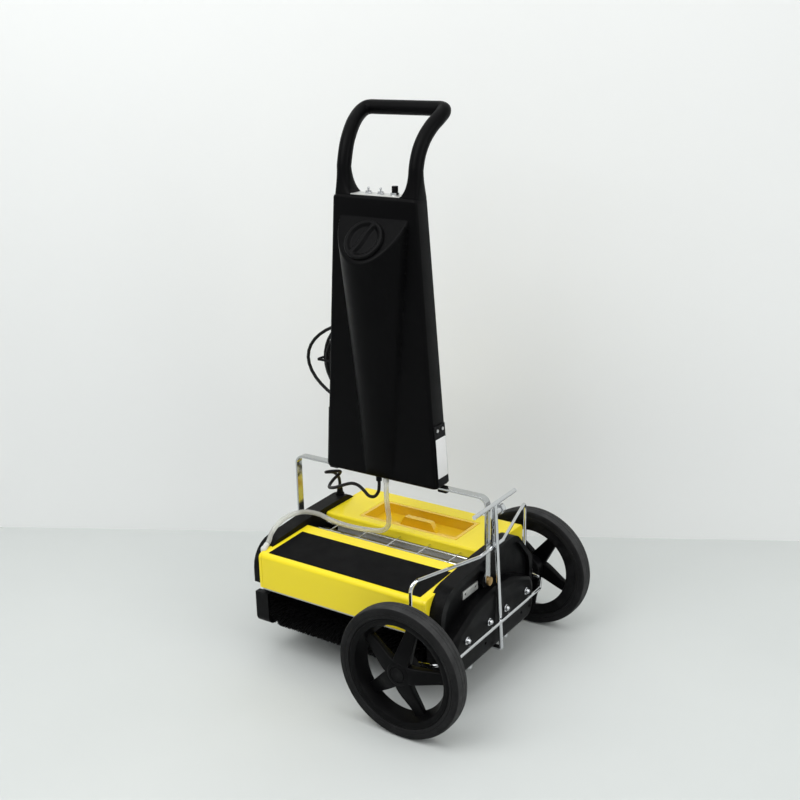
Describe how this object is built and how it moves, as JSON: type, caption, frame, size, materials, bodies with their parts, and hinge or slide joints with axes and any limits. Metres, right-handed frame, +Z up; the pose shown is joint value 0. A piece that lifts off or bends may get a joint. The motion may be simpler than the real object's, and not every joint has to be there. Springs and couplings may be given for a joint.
{
  "type": "escalator cleaning machine",
  "caption": "Upright escalator cleaner: counter-rotating brushes under yellow covers, tall black tank handle on a chrome bail, and a wheeled wire trolley at one end.",
  "frame": {"origin": "bottom centre of the bounding box, without the mains cord, its plug and its tie", "axes": "+X along the brushes towards the trolley, +Y to the rear, +Z up"},
  "size_m": [0.6588, 0.636, 1.2977],
  "materials": {
    "moulding": "moulded black plastic with a light sheen",
    "yellow": "glossy yellow moulding",
    "panel": "matt black fine grain",
    "chrome": "bright plated steel",
    "steel": "bare steel",
    "alloy": "cast aluminium",
    "bronze": "sintered bronze",
    "amber": "amber translucent plastic",
    "tray": "natural plastic",
    "rubber": "black rubber",
    "tyre": "solid grey-black rubber tyre",
    "wheel": "black moulded wheel",
    "bristle": "black nylon bristle",
    "clear_hose": "clear flexible hose",
    "cord": "black rubber sheath"
  },
  "bodies": {
    "chassis": {"left_housing": "moulding", "right_housing": "moulding", "gear_cover": "moulding", "front_cover": "yellow", "inset_panel": "panel", "rear_hood": "yellow", "wire_guard": "chrome", "tie_rods": "steel", "motor": "alloy", "gearbox": "alloy", "front_belt": "rubber", "rear_belt": "rubber", "shaft_bushes": "bronze", "recovery_tank": "tray", "spray_bar": "alloy", "hose_fitting": "tray", "cable_gland": "moulding", "rest_feet": "rubber", "end_feet": "chrome", "cover_nuts": "chrome", "catch_plate": "steel", "trolley_frame": "chrome", "lifting_rod": "chrome", "stub_axles": "steel", "pivot_bolts": "bronze", "water_hose": "clear_hose", "link_cable": "cord"},
    "handle": {"bail": "chrome", "clamp_blocks": "moulding", "handle_tank": "moulding", "grip_loop": "moulding", "control_plate": "steel", "switch_bezels": "chrome", "side_covers": "moulding", "cover_screws": "steel", "tank_outlet": "tray", "handle_gland": "moulding", "cord_hook": "moulding", "cord_gland": "moulding", "mains_cord": "cord", "plug": "moulding", "cord_tie": "moulding"},
    "cap": {"filler_cap": "moulding"},
    "switch_a": {"left_switch": "chrome"},
    "switch_b": {"right_switch": "chrome"},
    "button": {"push_button": "moulding"},
    "lid": {"tank_lid": "amber"},
    "knob": {"clamp_knob": "chrome"},
    "wheel_front": {"front_wheel": "wheel", "front_tyre": "tyre"},
    "wheel_rear": {"rear_wheel": "wheel", "rear_tyre": "tyre"},
    "brush_front": {"front_brush_shaft": "moulding", "front_bristles": "bristle"},
    "brush_rear": {"rear_brush_shaft": "moulding", "rear_bristles": "bristle"},
    "drive_front": {"front_drive_pulley": "alloy"},
    "drive_rear": {"rear_drive_pulley": "alloy"},
    "drum": {"pickup_drum": "steel"}
  },
  "joints": [
    {"name": "handle_tilt", "type": "hinge", "parent": "chassis", "child": "handle", "pos_m": [-0.0531, 0, 0.246], "axis": [-1, 0, 0], "range_deg": [0, 35]},
    {"name": "front_wheel_spin", "type": "hinge", "parent": "chassis", "child": "wheel_front", "pos_m": [0.1769, -0.298, 0.1525], "axis": [0, 1, 0], "continuous": true},
    {"name": "rear_wheel_spin", "type": "hinge", "parent": "chassis", "child": "wheel_rear", "pos_m": [0.1769, 0.298, 0.1525], "axis": [0, 1, 0], "continuous": true},
    {"name": "front_brush_spin", "type": "hinge", "parent": "chassis", "child": "brush_front", "pos_m": [-0.0531, -0.128, 0.13], "axis": [1, 0, 0], "continuous": true},
    {"name": "rear_brush_spin", "type": "hinge", "parent": "chassis", "child": "brush_rear", "pos_m": [-0.0531, 0.15, 0.13], "axis": [1, 0, 0], "continuous": true},
    {"name": "front_drive_spin", "type": "hinge", "parent": "chassis", "child": "drive_front", "pos_m": [0.1869, -0.016, 0.118], "axis": [1, 0, 0], "continuous": true},
    {"name": "rear_drive_spin", "type": "hinge", "parent": "chassis", "child": "drive_rear", "pos_m": [0.1869, 0.038, 0.118], "axis": [1, 0, 0], "continuous": true},
    {"name": "drum_spin", "type": "hinge", "parent": "chassis", "child": "drum", "pos_m": [-0.0531, 0.011, 0.206], "axis": [1, 0, 0], "continuous": true},
    {"name": "lid_lift", "type": "slide", "parent": "chassis", "child": "lid", "axis": [0, 0, 1], "range_m": [0, 0.085]},
    {"name": "knob_turn", "type": "hinge", "parent": "chassis", "child": "knob", "pos_m": [0.23173, 0.027, 0.418], "axis": [0, 1, 0], "range_deg": [0, 270]},
    {"name": "cap_turn", "type": "hinge", "parent": "handle", "child": "cap", "pos_m": [-0.0531, -0.06884, 1.0141], "axis": [0, -0.7854, 0.619], "range_deg": [0, 270]},
    {"name": "left_switch_tilt", "type": "hinge", "parent": "handle", "child": "switch_a", "pos_m": [-0.0811, -0.009, 1.1093], "axis": [1, 0, 0], "range_deg": [-14, 14]},
    {"name": "right_switch_tilt", "type": "hinge", "parent": "handle", "child": "switch_b", "pos_m": [-0.0491, -0.009, 1.1093], "axis": [1, 0, 0], "range_deg": [-14, 14]},
    {"name": "button_press", "type": "slide", "parent": "handle", "child": "button", "axis": [0, 0, -1], "range_m": [0, 0.004], "stiffness_N_per_m": 600}
  ],
  "couplings": [
    {"joint": "rear_brush_spin", "follows": "front_brush_spin", "ratio": -1},
    {"joint": "front_drive_spin", "follows": "front_brush_spin", "ratio": 1.3},
    {"joint": "rear_drive_spin", "follows": "front_brush_spin", "ratio": -1.3}
  ]
}
